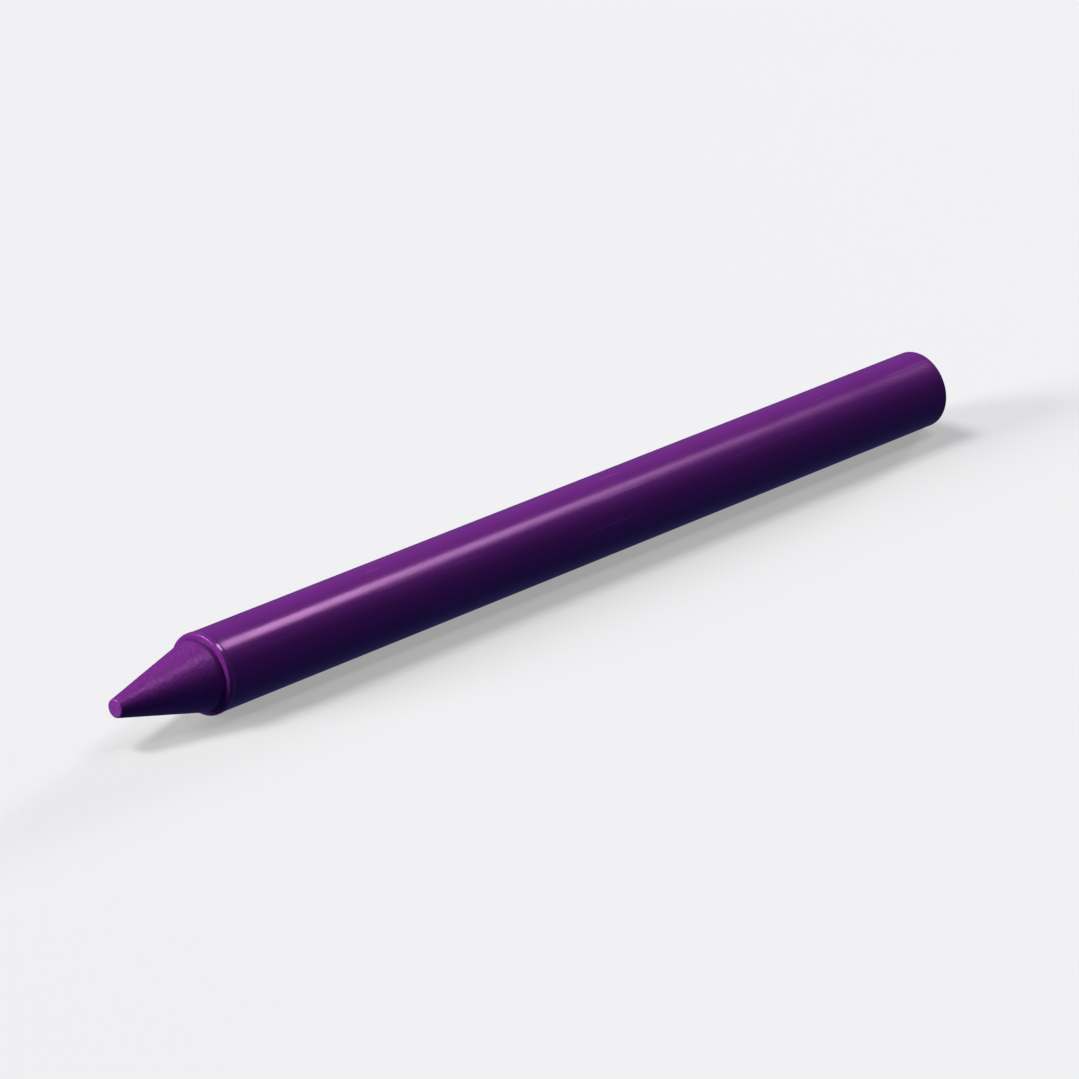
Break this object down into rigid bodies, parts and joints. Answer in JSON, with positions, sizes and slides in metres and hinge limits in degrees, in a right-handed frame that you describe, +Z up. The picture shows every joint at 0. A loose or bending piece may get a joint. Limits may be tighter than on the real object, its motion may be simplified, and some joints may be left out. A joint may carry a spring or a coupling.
{
  "type": "plastic crayon",
  "caption": "Slim solid plastic crayon with a flat-nosed conical tip, a small bead behind the cone and a long glossy round barrel.",
  "frame": {"origin": "on the surface that the crayon lies on, below the middle of its length", "axes": "X along the crayon with the nose at -X and the tail face at +X, +Z up from the surface it lies on"},
  "size_m": [0.12, 0.0086, 0.0086],
  "materials": {
    "crayon_plastic": "deep purple pigmented plastic, glossy barrel and satin cone"
  },
  "bodies": {
    "root": {"crayon_stick": "crayon_plastic"}
  },
  "joints": []
}
